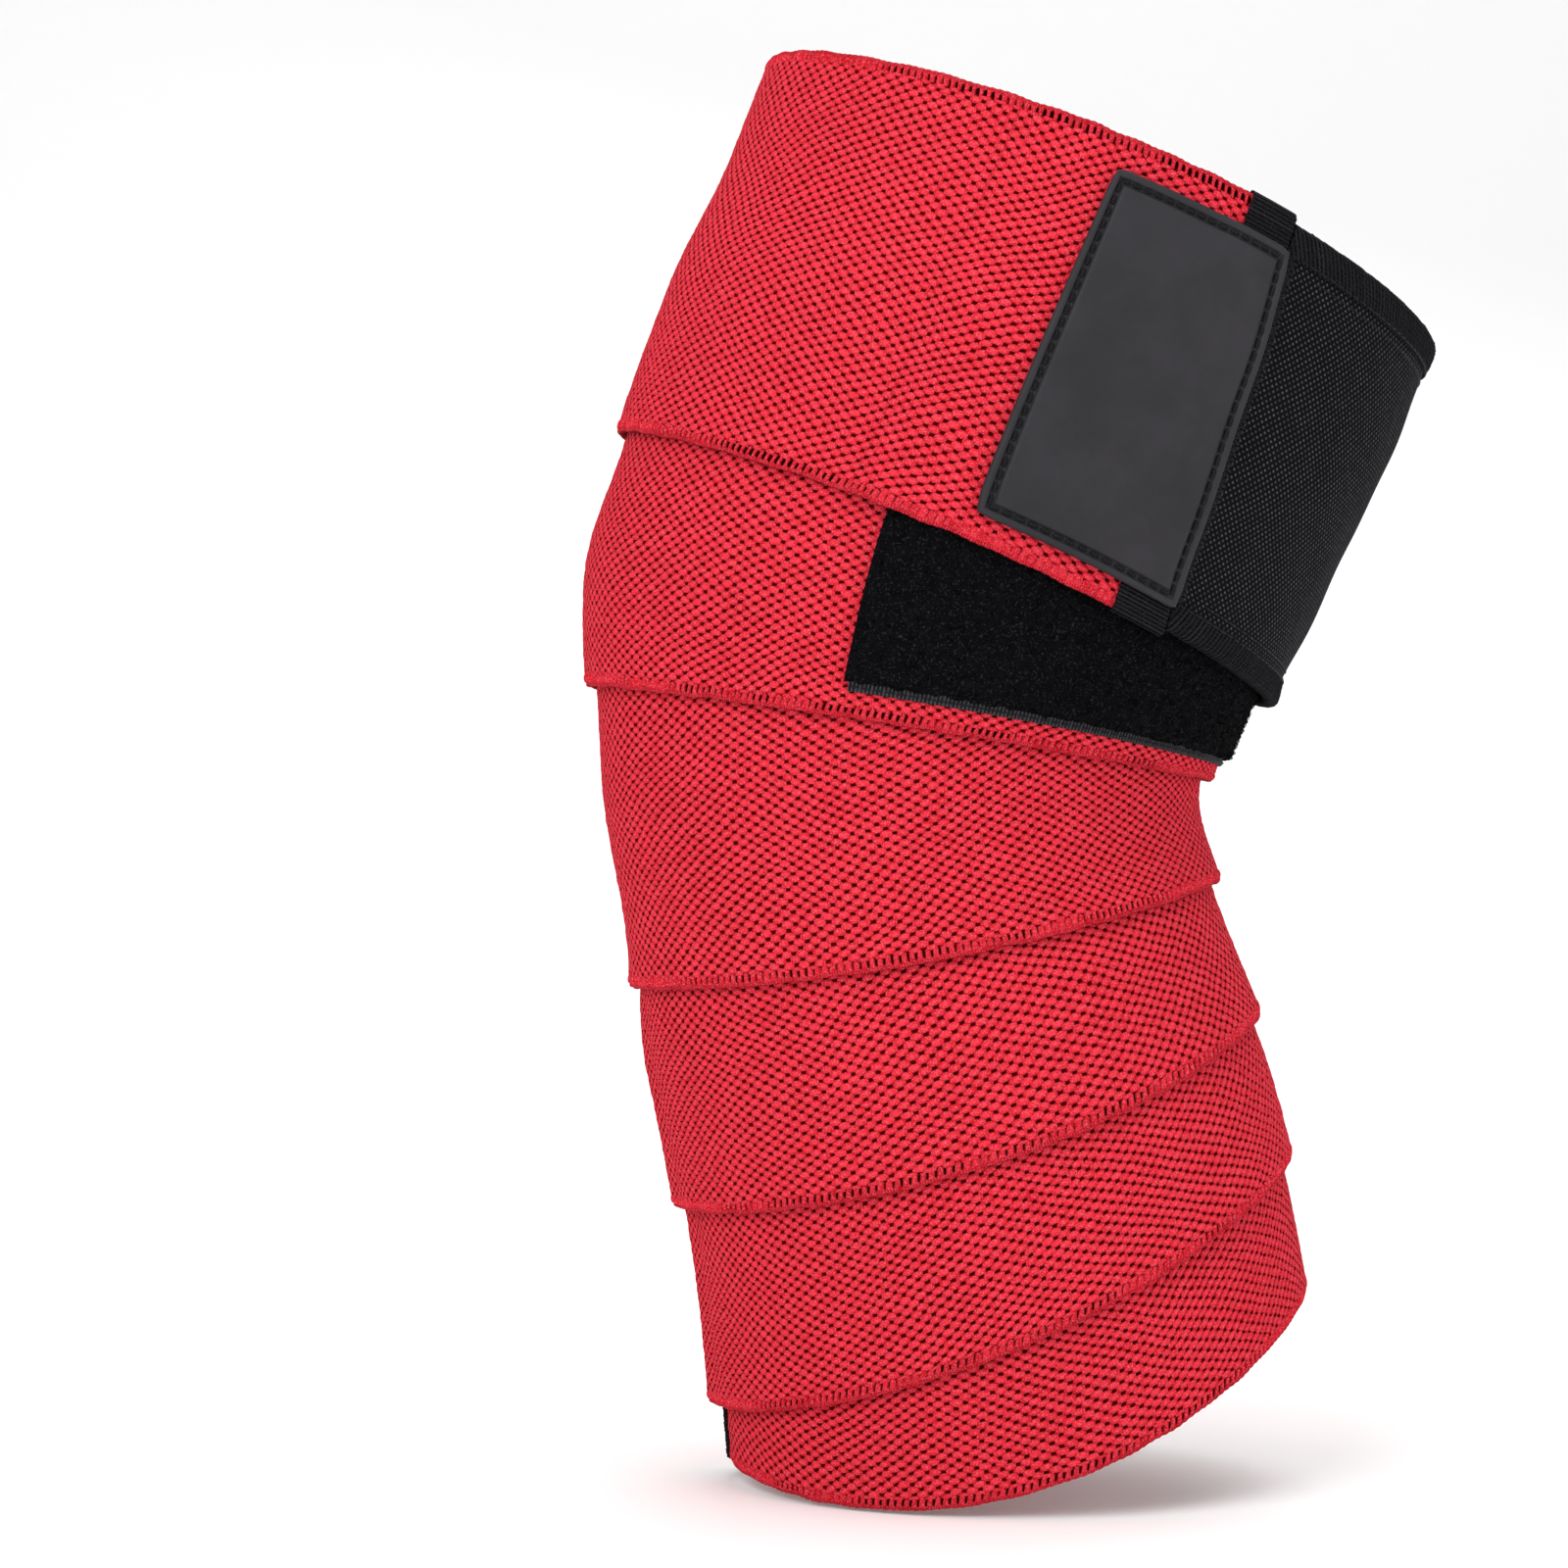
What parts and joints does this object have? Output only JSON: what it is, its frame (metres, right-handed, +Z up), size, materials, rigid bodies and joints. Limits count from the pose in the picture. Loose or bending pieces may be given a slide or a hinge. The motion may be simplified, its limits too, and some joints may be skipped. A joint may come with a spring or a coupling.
{
  "type": "knee wrap",
  "caption": "Elastic knee wrap, wound on a bent knee in overlapping turns and closed by a hook-and-loop tab beside a blank rubber patch.",
  "frame": {"origin": "centre of the wrapped knee, midway through the wound band", "axes": "+Z up the leg, -X towards the kneecap, +X towards the hollow of the knee, -Y towards the side where the wrap is closed. The thigh leans towards +X going up and the shin towards -X."},
  "size_m": [0.1673, 0.1379, 0.2794],
  "materials": {
    "red_knit": "coarse red elastic knit, matt, with small dark holes between its stitches",
    "black_tape": "ribbed black binding tape with a faint sheen",
    "loop_pile": "fuzzy black loop pile",
    "loop_base": "ribbed dark grey woven tape",
    "hook_tape": "black hook tape",
    "nylon": "black woven nylon with a faint grey weave",
    "rubber": "matt dark grey moulded rubber",
    "thread": "black sewing thread"
  },
  "bodies": {
    "wrap": {"elastic_band": "red_knit", "start_binding": "black_tape", "start_stitching": "thread", "loop_tape": "loop_base", "loop_pile": "loop_pile", "loop_stitching": "thread"},
    "tail": {"band_tail": "red_knit", "end_sleeve": "black_tape", "rubber_patch": "rubber", "patch_stitching": "thread"},
    "tab": {"tab_panel": "nylon", "hook_panel": "hook_tape", "tab_binding_upper": "black_tape", "tab_binding_lower": "black_tape", "tab_binding_tip": "black_tape", "seam_stitching": "thread", "hook_stitching": "thread", "binding_stitching": "thread"}
  },
  "joints": [
    {"name": "tail_lift", "type": "hinge", "parent": "wrap", "child": "tail", "pos_m": [0.01272, -0.06805, 0.07606], "axis": [-0.415, -0.0571, -0.908], "range_deg": [0, 90]},
    {"name": "tab_peel", "type": "hinge", "parent": "tail", "child": "tab", "pos_m": [0.06231, -0.05904, 0.05394], "axis": [-0.3061, 0.0379, -0.9512], "range_deg": [0, 100]}
  ]
}
